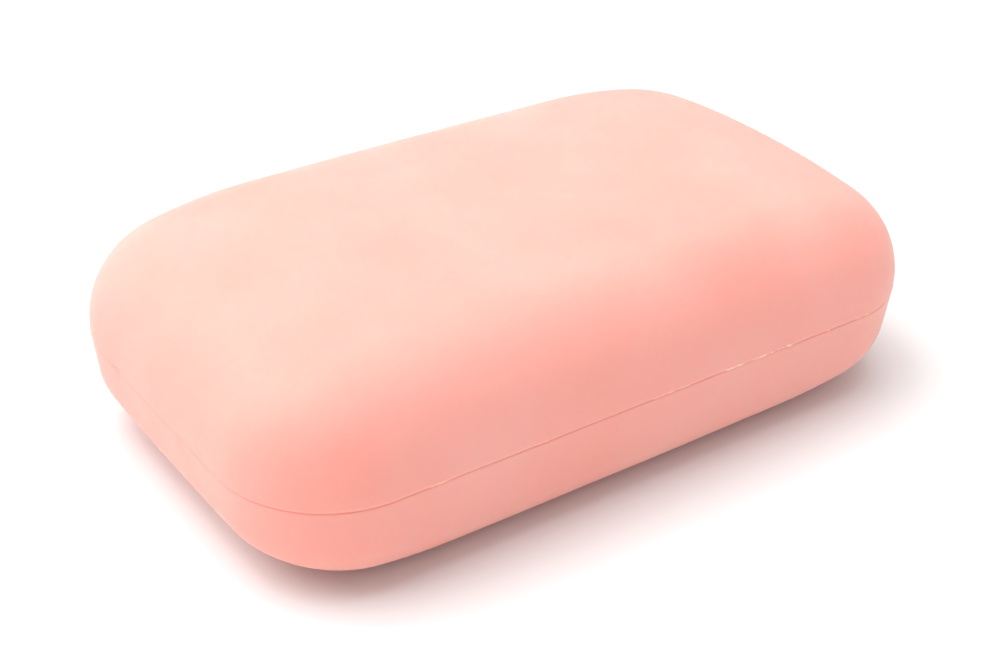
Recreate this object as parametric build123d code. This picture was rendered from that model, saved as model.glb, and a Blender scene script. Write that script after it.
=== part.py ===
from build123d import *
import os
from math import acos, asin, cos, degrees, radians, sin, tan

# A bar of toilet soap, pressed as one piece between two dies. Its upper and lower
# halves are shallow pillows that meet at a parting line round the girth.
# Millimetres and degrees. X is the length, Y the width and Z up, with the origin
# at the middle of the flat that the bar rests on.

# Girth, seen from above at the parting line
bar_length = 86.0
bar_width = 51.8
corner_radius = 12.4
end_bow = 0.2  # how far the middle of each end stands out past its square corners

# Upper half
upper_height = 13.7  # parting line to the top of the crown
upper_draft = 1.7  # lean of the walls
upper_shoulder_radius = 10.4
upper_crown_radius_along = 1900.0  # the long, nearly straight middle of the crown
upper_crown_reach = 21.0  # middle of the bar to where the crown starts to fall away
upper_crown_end_radius = 58.0  # beyond that reach
upper_crown_radius_across = 130.0

# Lower half
lower_height = 11.8  # resting flat to parting line
lower_draft = 6.0
lower_shoulder_radius = 6.1
lower_crown_radius_along = 2400.0
lower_crown_reach = 22.0
lower_crown_end_radius = 61.0
lower_crown_radius_across = 460.0
rest_flat_depth = 0.1  # how much of the lower crown the resting flat takes away

# Both halves
shoulder_limit = 1.6  # a shoulder's largest radius, as a multiple of the lowest wall under it

# Parting line
parting_step = 0.15  # how far the lower half stands in from the upper half
parting_bevel = 0.2  # bevel on the rim of each half, which makes the crease


def girth_face(inset):
    """The outline at the parting line, moved in by inset: straight sides, bowed ends."""
    half_length = bar_length / 2 - inset
    half_width = bar_width / 2 - inset
    side_end = half_length - end_bow
    outline = (
        Line((-side_end, half_width), (side_end, half_width))
        + ThreePointArc((side_end, half_width), (half_length, 0), (side_end, -half_width))
        + Line((side_end, -half_width), (-side_end, -half_width))
        + ThreePointArc((-side_end, -half_width), (-half_length, 0), (-side_end, half_width))
    )
    face = make_face(outline)
    return fillet(face.vertices(), corner_radius - inset)


def drafted_walls(height, draft_angle, inset):
    """A block on the parting plane: a bevelled rim, then walls that lean in as they rise."""
    lean = tan(radians(draft_angle))
    rim = girth_face(inset + parting_bevel)
    wall_foot = Pos(0, 0, parting_bevel) * girth_face(inset + parting_bevel * lean)
    wall_top = Pos(0, 0, height) * girth_face(inset + height * lean)
    return loft([rim, wall_foot, wall_top], ruled=True)


def crown_spine(height, radius_along, reach, end_radius):
    """The crown's line along the bar: a long arc, then a tighter one tangent to each end of it."""
    bend = degrees(asin(reach / radius_along))
    hub = (radius_along - end_radius) * sin(radians(bend))
    hub_height = height - radius_along + (radius_along - end_radius) * cos(radians(bend))
    fall = degrees(acos(hub_height / end_radius))
    left = CenterArc((-hub, hub_height), end_radius, 90 + fall, bend - fall)
    middle = CenterArc((0, height - radius_along), radius_along, 90 + bend, -2 * bend)
    right = CenterArc((hub, hub_height), end_radius, 90 - bend, bend - fall)
    return Plane.XZ * Wire([left, middle, right])


def crown_body(height, radius_along, reach, end_radius, radius_across):
    """A body whose top is the crowned face: an arc across, swept along the crown's spine."""
    spine = crown_spine(height, radius_along, reach, end_radius)
    disc = Pos(0, -radius_across) * Circle(radius_across)
    band = Rectangle(2 * bar_width, 2 * height)
    start = Plane(origin=spine @ 0, x_dir=(0, 1, 0), z_dir=spine % 0)
    return sweep(start * (disc & band), path=spine)


def pressed_half(height, draft_angle, shoulder_radius, crown, inset):
    """One half of the bar, standing on the parting plane."""
    walls = drafted_walls(1.2 * height, draft_angle, inset)
    half = walls & crown
    crown_edges = [edge for face in half.faces().sort_by(Axis.Z)[-3:] for edge in face.edges()]
    crown_rim = [
        edge for edge in crown_edges
        if sum(edge.is_same(other) for other in crown_edges) == 1
    ]
    lowest_wall = min(edge.bounding_box().min.Z for edge in crown_rim)
    return fillet(crown_rim, min(shoulder_radius, shoulder_limit * lowest_wall))


def soap_bar():
    upper_crown = crown_body(
        upper_height,
        upper_crown_radius_along,
        upper_crown_reach,
        upper_crown_end_radius,
        upper_crown_radius_across,
    )
    upper = pressed_half(
        upper_height,
        upper_draft,
        upper_shoulder_radius,
        upper_crown,
        inset=0.0,
    )
    full_lower_height = lower_height + rest_flat_depth
    lower_crown = crown_body(
        full_lower_height,
        lower_crown_radius_along,
        lower_crown_reach,
        lower_crown_end_radius,
        lower_crown_radius_across,
    )
    lower = pressed_half(
        full_lower_height,
        lower_draft,
        lower_shoulder_radius,
        lower_crown,
        inset=parting_step,
    )
    bar = Pos(0, 0, lower_height) * (upper + mirror(lower, Plane.XY))
    return split(bar, Plane.XY, keep=Keep.TOP)


os.makedirs("parts", exist_ok=True)
export_step(soap_bar(), "parts/soap_bar.step")
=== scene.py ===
import math

import bpy
import numpy as np
from mathutils import Matrix, Vector, noise


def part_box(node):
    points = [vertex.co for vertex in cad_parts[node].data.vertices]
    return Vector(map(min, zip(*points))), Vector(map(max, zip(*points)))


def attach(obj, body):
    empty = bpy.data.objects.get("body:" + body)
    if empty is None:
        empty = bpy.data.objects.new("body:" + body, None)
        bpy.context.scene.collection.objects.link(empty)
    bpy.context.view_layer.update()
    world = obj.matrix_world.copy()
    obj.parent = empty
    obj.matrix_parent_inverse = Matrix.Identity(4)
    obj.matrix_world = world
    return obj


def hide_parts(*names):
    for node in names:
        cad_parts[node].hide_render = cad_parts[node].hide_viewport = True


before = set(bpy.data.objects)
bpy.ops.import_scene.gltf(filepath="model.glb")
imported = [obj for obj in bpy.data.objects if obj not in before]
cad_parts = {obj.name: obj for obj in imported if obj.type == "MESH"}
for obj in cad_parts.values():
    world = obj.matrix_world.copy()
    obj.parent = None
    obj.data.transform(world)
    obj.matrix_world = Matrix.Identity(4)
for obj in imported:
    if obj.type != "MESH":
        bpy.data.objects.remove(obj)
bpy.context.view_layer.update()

MM = 0.001
low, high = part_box("soap_bar")

# The bar's form, in metres. Its length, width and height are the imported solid's, less
# the room that the flash along the parting line takes up.
FLASH_ROOM = 0.25 * MM
HALF_LENGTH = (high.x - low.x) / 2 - FLASH_ROOM
HALF_WIDTH = (high.y - low.y) / 2 - FLASH_ROOM
PARTING_HEIGHT = 11.8 * MM
CORNER_RADIUS = 12.4 * MM
END_BOW = 0.2 * MM
CREASE_DEPTH = 0.2 * MM
CREASE_HALF_GAP = 0.1 * MM
PARTING_STEP = 0.05 * MM
FLASH_BASE = 0.1
LIP_HEIGHT = 0.2 * MM
LIP_RISE = 0.16 * MM
LIP_UNDERCUT = 0.07 * MM

# Slow unevenness of the pressed surface, which fades out at the resting flat.
WAVE_LENGTH = 11.0 * MM
WAVE_DEPTH = 0.07 * MM
REST_LEVEL = 0.02 * MM

# Handling marks: place on the bar, radius and depth, in millimetres.
DENTS = [
    ((-42.9, -10.0, 13.0), 0.45, 0.16),
    ((-42.9, 9.0, 11.6), 0.8, 0.22),
    ((-37.0, -22.6, 10.0), 0.7, 0.07),
    ((-27.0, -8.0, 25.3), 2.6, 0.05),
    ((27.0, -11.0, 25.0), 3.2, 0.05),
]


class Half:
    """The sizes of one pressed half, measured away from the parting plane. Its crown runs
    along the bar as a long arc out to its reach, then as a tighter arc tangent to that."""

    def __init__(self, side, height, draft, shoulder, along, reach, end_radius, across, step):
        self.side = side
        self.height = height
        self.draft = math.radians(draft)
        self.shoulder = shoulder
        self.along = along
        self.end_radius = end_radius
        self.across = across
        self.step = step
        self.bend = math.asin(reach / along)
        self.hub = (along - end_radius) * math.sin(self.bend)
        self.hub_height = height - along + (along - end_radius) * math.cos(self.bend)


UPPER = Half(
    1, high.z - PARTING_HEIGHT, 1.7, 10.4 * MM, 1900 * MM, 21 * MM, 58 * MM, 130 * MM, 0.0
)
LOWER = Half(
    -1, PARTING_HEIGHT + 0.1 * MM, 6.0, 6.1 * MM, 2400 * MM, 22 * MM, 61 * MM, 460 * MM, PARTING_STEP
)


# ---------------------------------------------------------------- the bar's mesh

GIRTH_STATIONS = 1440
BODY_STATIONS = 480


def quarter_outline(steps):
    """Points and outward normals over one quarter of the girth, from the end to the side."""
    bow_radius = (HALF_WIDTH ** 2 + END_BOW ** 2) / (2 * END_BOW)
    bow_centre = HALF_LENGTH - bow_radius
    corner_y = HALF_WIDTH - CORNER_RADIUS
    corner_x = bow_centre + math.sqrt((bow_radius - CORNER_RADIUS) ** 2 - corner_y ** 2)
    corner_start = math.atan2(corner_y, corner_x - bow_centre)
    lengths = np.cumsum([
        bow_radius * corner_start,
        CORNER_RADIUS * (math.pi / 2 - corner_start),
        corner_x,
    ])
    points, normals = [], []
    for travelled in (np.arange(steps) + 0.5) / steps * lengths[2]:
        if travelled < lengths[0]:
            turn = travelled / bow_radius
            centre, radius = (bow_centre, 0.0), bow_radius
        elif travelled < lengths[1]:
            turn = corner_start + (travelled - lengths[0]) / CORNER_RADIUS
            centre, radius = (corner_x, corner_y), CORNER_RADIUS
        else:
            turn = math.pi / 2
            centre, radius = (lengths[2] - travelled, corner_y), CORNER_RADIUS
        normal = (math.cos(turn), math.sin(turn))
        points.append([centre[0] + radius * normal[0], centre[1] + radius * normal[1]])
        normals.append(normal)
    return np.array(points), np.array(normals)


def girth_outline():
    """The closed outline at the parting line, counterclockwise from the +X end."""
    points, normals = quarter_outline(GIRTH_STATIONS // 4)
    loops = []
    for quarter in (points, normals):
        flipped = quarter[::-1] * [-1, 1]
        loops.append(np.concatenate([quarter, flipped, -quarter, -flipped]))
    return loops


def crown(half, plan):
    """Height of the crowned face above the parting plane, and its slopes down and outwards."""
    x, y = np.abs(plan[:, 0]), plan[:, 1]
    across_fall = half.across - np.sqrt(half.across ** 2 - y ** 2)
    near = x < half.hub + (half.end_radius - across_fall) * math.sin(half.bend)
    out = np.where(near, x, x - half.hub)
    radius = np.where(near, half.along, half.end_radius) - across_fall
    rise = np.sqrt(radius ** 2 - out ** 2)
    height = np.where(near, half.height - half.along, half.hub_height) + rise
    slope_x = np.sign(plan[:, 0]) * out / rise
    slope_y = radius / rise * y / (half.across - across_fall)
    return height, np.column_stack([slope_x, slope_y])


def roll_ball(half, points, normals):
    """Rolls a ball of the shoulder's radius round the bar, touching both wall and crown.
    Returns its inward distance and height at each station, and the direction of the crown."""
    lean, radius = half.draft, half.shoulder
    contact = points - normals * radius
    for _ in range(60):
        level, slopes = crown(half, contact)
        upright = np.column_stack([slopes, np.ones(len(points))])
        upright /= np.linalg.norm(upright, axis=1)[:, None]
        ball_height = level - radius * upright[:, 2]
        ball_inward = half.step + (radius + ball_height * math.sin(lean)) / math.cos(lean)
        touched = points - normals * ball_inward[:, None] + radius * upright[:, :2]
        contact = 0.5 * (contact + touched)
    return ball_inward, ball_height, upright


def turned(start, end, share):
    """Unit vectors a share of the way along the arcs from start to end."""
    angle = np.arccos(np.clip((start * end).sum(axis=1), -1, 1))[:, None]
    return (np.sin((1 - share) * angle) * start + np.sin(share * angle) * end) / np.sin(angle)


def crease(height):
    """How far the surface dips in at this height from the parting plane."""
    return CREASE_DEPTH / (1 + (height / CREASE_HALF_GAP) ** 2)


def flash_lip(points):
    """How far the ragged flash stands out at each station. It is thickest in patches along
    the front, given as start and end along X and a share of the full lip."""
    patches = [
        (-27.5, -24.0, 0.7), (-18.0, -11.0, 0.5), (-0.5, 6.8, 0.6), (8.5, 20.5, 1.0),
        (23.6, 26.4, 0.7), (28.8, 32.4, 0.8),
    ]
    lips = []
    for x, y in points / MM:
        share = FLASH_BASE
        if y < 0:
            for start, end, strength in patches:
                if start < x < end:
                    edge = min(x - start, end - x, 1.0)
                    share = max(share, strength * edge)
        ragged = noise.noise(Vector((x * 1.1, y * 1.1, 3.7))) + 0.6 * noise.noise(Vector((x * 3.1, y * 3.1, 9.2)))
        lips.append(FLASH_ROOM * share * min(max(0.55 + 1.1 * ragged, 0.0), 1.0))
    return np.array(lips)


def lip_profile(height):
    """The lip's shape above the parting plane: it overhangs below and slopes back above."""
    above = height - LIP_HEIGHT
    return np.exp(-((above / np.where(above > 0, LIP_RISE, LIP_UNDERCUT)) ** 2))


class MeshBuilder:
    """Loops of vertices stacked from the girth outwards, joined by strips of faces."""

    def __init__(self):
        self.vertices = []
        self.flash_highlight = []
        self.faces = []

    def add_loop(self, xyz, flash_highlight=0.0):
        """Adds vertices, with how much of each one is flash, from 0 to 1; the material paints that share with a
        highlight.
        """
        start = len(self.vertices)
        self.vertices.extend(map(tuple, xyz))
        self.flash_highlight.extend(np.full(len(xyz), flash_highlight))
        return list(range(start, start + len(xyz)))

    def bridge(self, outer, inner, upward):
        """A strip between two loops. The outer one may have a whole number of times as many vertices."""
        ratio = len(outer) // len(inner)
        for j, here in enumerate(inner):
            there = inner[(j + 1) % len(inner)]
            run = [outer[(j * ratio + k) % len(outer)] for k in range(ratio + 1)]
            half_run = ratio // 2
            strip = [(run[k], run[k + 1], here) for k in range(half_run)]
            if ratio % 2:
                strip.append((run[half_run], run[half_run + 1], there, here))
            else:
                strip.append((run[half_run], there, here))
            strip += [(run[k], run[k + 1], there) for k in range(ratio - half_run, ratio)]
            self.faces.extend(face if upward else face[::-1] for face in strip)

    def cap(self, loop, centre, upward):
        """A fan that closes the last loop."""
        tip = self.add_loop([centre])[0]
        for j, here in enumerate(loop):
            face = (here, loop[(j + 1) % len(loop)], tip)
            self.faces.append(face if upward else face[::-1])


FINE_ROWS = np.array([0.0, 0.03, 0.06, 0.09, 0.13, 0.17, 0.22, 0.28, 0.36, 0.46, 0.6, 0.8]) * MM
WALL_START = 1.0 * MM
LOWEST_SHOULDER = 1.3 * MM


def build_half(builder, half, points, normals, seam_loop):
    """Adds one half, from the vertices on the parting plane to the middle of its crown."""
    ball_inward, ball_height, upright = roll_ball(half, points, normals)
    wall_top = ball_height + half.shoulder * math.sin(half.draft)
    upward = half.side > 0
    lip = flash_lip(points)
    previous = seam_loop

    def add_ring(plan, height, thin=1, flash_highlight=0.0):
        """Joins another ring of vertices, at a height measured away from the parting plane."""
        nonlocal previous
        level = np.maximum(PARTING_HEIGHT + half.side * height, 0.0)
        loop = builder.add_loop(np.column_stack([plan, level])[::thin], flash_highlight)
        builder.bridge(previous, loop, upward)
        previous = loop

    def on_wall(height):
        """The wall up to the shoulder's foot, then the shoulder, with the crease and flash."""
        over = np.clip(height - ball_height, -half.shoulder, half.shoulder)
        on_shoulder = ball_inward - np.sqrt(half.shoulder ** 2 - over ** 2)
        on_draft = half.step + height * math.tan(half.draft)
        inward = np.where(height > wall_top, on_shoulder, on_draft)
        inward += crease(height) - half.step * np.exp(-height / CREASE_HALF_GAP)
        if upward:
            inward -= lip * lip_profile(height)
        return points - normals * inward[:, None]

    for level in FINE_ROWS[1:]:
        height = np.full(len(points), level)
        flash_highlight = lip / FLASH_ROOM * lip_profile(height) if upward else 0.0
        add_ring(on_wall(height), height, flash_highlight=flash_highlight)
    thin = GIRTH_STATIONS // BODY_STATIONS
    shoulder_foot = np.maximum(wall_top, LOWEST_SHOULDER)
    for share in np.linspace(0, 1, 6):
        height = WALL_START + (shoulder_foot - WALL_START) * share
        add_ring(on_wall(height), height, thin)
    rise = (shoulder_foot - ball_height) / half.shoulder
    outward = np.column_stack([normals * np.sqrt(1 - rise ** 2)[:, None], rise])
    centres = points - normals * ball_inward[:, None]
    for share in np.linspace(0, 1, 32 if upward else 22)[1:]:
        radial = half.shoulder * turned(outward, upright, share)
        add_ring(centres + radial[:, :2], ball_height + radial[:, 2], thin)
    rim = (centres + half.shoulder * upright[:, :2])[::thin]
    for share in np.linspace(1, 0, 36)[1:-1]:
        while share * BODY_STATIONS < 0.6 * len(rim) and len(rim) > BODY_STATIONS // 8:
            rim = rim[::2]
        add_ring(rim * share, crown(half, rim * share)[0])
    tip = max(PARTING_HEIGHT + half.side * half.height, 0.0)
    builder.cap(previous, (0, 0, tip), upward)


def worn(vertices):
    """The bar's points, drawn in a little by slow waves in the surface and by small dents."""
    dents = [(Vector(place) * MM, radius * MM, depth * MM) for place, radius, depth in DENTS]
    middle = Vector((0, 0, PARTING_HEIGHT))
    moved = []
    for vertex in map(Vector, vertices):
        wave = noise.noise(vertex / WAVE_LENGTH) + 0.4 * noise.noise(vertex / (0.4 * WAVE_LENGTH))
        sink = WAVE_DEPTH * (0.5 + 0.35 * wave)
        for place, radius, depth in dents:
            away = (vertex - place).length / radius
            if away < 2.5:
                sink += depth * math.exp(-away ** 2)
        inward = middle - vertex
        inward.x = math.copysign(max(abs(inward.x) - 0.55 * HALF_LENGTH, 0.0), inward.x)
        inward.y = math.copysign(max(abs(inward.y) - 0.2 * HALF_WIDTH, 0.0), inward.y)
        if vertex.z > REST_LEVEL:
            vertex = vertex + inward.normalized() * sink
        moved.append(tuple(vertex))
    return moved


def build_bar():
    points, normals = girth_outline()
    builder = MeshBuilder()
    plan = points - normals * CREASE_DEPTH
    seam = builder.add_loop(np.column_stack([plan, np.full(len(plan), PARTING_HEIGHT)]))
    for half in (UPPER, LOWER):
        build_half(builder, half, points, normals, seam)
    mesh = bpy.data.meshes.new("soap_bar_pressed")
    mesh.from_pydata(worn(builder.vertices), [], builder.faces)
    mesh.validate()
    # The flash share goes to the material, which paints a highlight on it.
    flash_highlight = mesh.attributes.new("flash_highlight", "FLOAT", "POINT")
    flash_highlight.data.foreach_set("value", builder.flash_highlight)
    mesh.shade_smooth()
    piece = bpy.data.objects.new("soap_bar_pressed", mesh)
    bpy.context.scene.collection.objects.link(piece)
    return piece


# ---------------------------------------------------------------- materials

class Nodes:
    """A short way to add and join shader nodes in one material."""

    def __init__(self, material):
        self.tree = material.node_tree
        self.place = self.add("ShaderNodeTexCoord").outputs["Object"]

    def add(self, kind, **settings):
        node = self.tree.nodes.new(kind)
        for name, value in settings.items():
            setattr(node, name, value)
        return node

    def noise(self, size, detail, roughness=0.5):
        """Noise whose features measure about size metres, as a grey from 0 to 1."""
        node = self.add("ShaderNodeTexNoise")
        node.inputs["Scale"].default_value = 1 / size
        node.inputs["Detail"].default_value = detail
        node.inputs["Roughness"].default_value = roughness
        self.tree.links.new(self.place, node.inputs["Vector"])
        return node.outputs["Fac"]

    def spread(self, grey, low, high, to_low, to_high):
        """The grey's range from low to high, stretched over another range."""
        node = self.add("ShaderNodeMapRange")
        for socket, value in zip(node.inputs[1:5], (low, high, to_low, to_high)):
            socket.default_value = value
        self.tree.links.new(grey, node.inputs["Value"])
        return node.outputs["Result"]

    def blend(self, share, first, second):
        """A colour between two, each a colour or another node's output."""
        node = self.add("ShaderNodeMix", data_type="RGBA")
        self.tree.links.new(share, node.inputs["Factor"])
        for socket, colour in ((node.inputs["A"], first), (node.inputs["B"], second)):
            socket = [s for s in node.inputs if s.name == socket.name and s.type == "RGBA"][0]
            if isinstance(colour, tuple):
                socket.default_value = (*colour, 1)
            else:
                self.tree.links.new(colour, socket)
        return [s for s in node.outputs if s.type == "RGBA"][0]

    def bump(self, height, strength, distance, below=None):
        node = self.add("ShaderNodeBump")
        node.inputs["Strength"].default_value = strength
        node.inputs["Distance"].default_value = distance
        self.tree.links.new(height, node.inputs["Height"])
        if below:
            self.tree.links.new(below, node.inputs["Normal"])
        return node.outputs["Normal"]


def soap_material():
    """Milled soap: waxy, lit a little way in, faintly mottled and softly uneven, with a painted highlight on the
    flash.
    """
    material = bpy.data.materials.new("soap_surface")
    material.use_nodes = True
    shader = material.node_tree.nodes["Principled BSDF"]
    nodes = Nodes(material)
    clouds = nodes.spread(nodes.noise(14 * MM, 3.0), 0.35, 0.65, 0.0, 1.0)
    flecks = nodes.spread(nodes.noise(2.2 * MM, 4.0, 0.6), 0.3, 0.7, 0.0, 0.35)
    body = nodes.blend(clouds, (0.93, 0.395, 0.333), (0.93, 0.435, 0.375))
    mottled = nodes.blend(flecks, body, (0.93, 0.415, 0.355))
    flash_highlight = nodes.add("ShaderNodeAttribute", attribute_name="flash_highlight").outputs["Fac"]
    # Painted highlight: the flash is blended towards a light pink, as if its ledge caught the light from above.
    colour = nodes.blend(nodes.spread(flash_highlight, 0.2, 0.7, 0.0, 0.8), mottled, (0.97, 0.66, 0.56))
    nodes.tree.links.new(colour, shader.inputs["Base Color"])
    sheen_patches = nodes.spread(nodes.noise(5 * MM, 4.0), 0.3, 0.7, 0.46, 0.62)
    nodes.tree.links.new(sheen_patches, shader.inputs["Roughness"])
    swell = nodes.bump(nodes.noise(3.5 * MM, 2.0), 0.35, 0.05 * MM)
    grain = nodes.bump(nodes.noise(0.5 * MM, 5.0, 0.65), 0.25, 0.012 * MM, swell)
    nodes.tree.links.new(grain, shader.inputs["Normal"])
    shader.inputs["IOR"].default_value = 1.46
    shader.inputs["Specular IOR Level"].default_value = 0.4
    shader.inputs["Subsurface Weight"].default_value = 1.0
    shader.inputs["Subsurface Radius"].default_value = (1.0, 0.4, 0.25)
    shader.inputs["Subsurface Scale"].default_value = 2.4 * MM
    return material


def floor_material():
    material = bpy.data.materials.new("floor_white")
    material.use_nodes = True
    shader = material.node_tree.nodes["Principled BSDF"]
    shader.inputs["Base Color"].default_value = (0.83, 0.83, 0.83, 1)
    shader.inputs["Roughness"].default_value = 0.9
    shader.inputs["Specular IOR Level"].default_value = 0.0
    return material


# ---------------------------------------------------------------- stage

FLOOR_SIZE = 6.0
VIEW_AZIMUTH = math.radians(-35.97)
VIEW_ELEVATION = math.radians(31.50)
VIEW_ROLL = math.radians(1.56)
VIEW_DISTANCE = 181.2 * MM
VIEW_TARGET = Vector((-5.06, -6.21, 11.80)) * MM
LENS_MM = 60.36


def make_camera():
    data = bpy.data.cameras.new("camera")
    data.sensor_width = 36.0
    data.lens = LENS_MM
    data.clip_start = 0.01
    data.clip_end = 100.0
    camera = bpy.data.objects.new("camera", data)
    bpy.context.scene.collection.objects.link(camera)
    back = Vector((
        math.sin(VIEW_AZIMUTH) * math.cos(VIEW_ELEVATION),
        -math.cos(VIEW_AZIMUTH) * math.cos(VIEW_ELEVATION),
        math.sin(VIEW_ELEVATION),
    ))
    level = Vector((math.cos(VIEW_AZIMUTH), math.sin(VIEW_AZIMUTH), 0))
    right = Matrix.Rotation(VIEW_ROLL, 3, back) @ level
    up = back.cross(right)
    turn = Matrix((right, up, back)).transposed().to_4x4()
    camera.matrix_world = Matrix.Translation(VIEW_TARGET + back * VIEW_DISTANCE) @ turn
    bpy.context.scene.camera = camera


def make_floor():
    mesh = bpy.data.meshes.new("floor")
    reach = FLOOR_SIZE / 2
    corners = [(-reach, -reach, 0), (reach, -reach, 0), (reach, reach, 0), (-reach, reach, 0)]
    mesh.from_pydata(corners, [], [(0, 1, 2, 3)])
    mesh.materials.append(floor_material())
    floor = bpy.data.objects.new("floor", mesh)
    bpy.context.scene.collection.objects.link(floor)


def area_light(name, direction, distance, size, power, colour=(1, 1, 1)):
    """A soft square light that looks at the bar from the given direction."""
    data = bpy.data.lights.new(name, "AREA")
    data.shape = "SQUARE"
    data.size = size
    data.energy = power
    data.color = colour
    light = bpy.data.objects.new(name, data)
    bpy.context.scene.collection.objects.link(light)
    towards = Vector(direction).normalized()
    light.matrix_world = (
        Matrix.Translation(towards * distance) @ towards.to_track_quat("Z", "Y").to_matrix().to_4x4()
    )


def make_world(strength):
    world = bpy.data.worlds.new("studio")
    world.use_nodes = True
    background = world.node_tree.nodes["Background"]
    background.inputs["Color"].default_value = (1, 1, 1, 1)
    background.inputs["Strength"].default_value = strength
    bpy.context.scene.world = world


make_camera()
make_floor()
make_world(0.66)
area_light("key", (-0.6, 0.4, 1.0), 0.8, 0.7, 4.7)
area_light("overhead", (0.0, 0.1, 1.0), 0.8, 0.7, 3.6)
bpy.context.scene.view_settings.view_transform = "Standard"

bar = build_bar()
bar.data.materials.append(soap_material())
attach(bar, "root")
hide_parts("soap_bar")
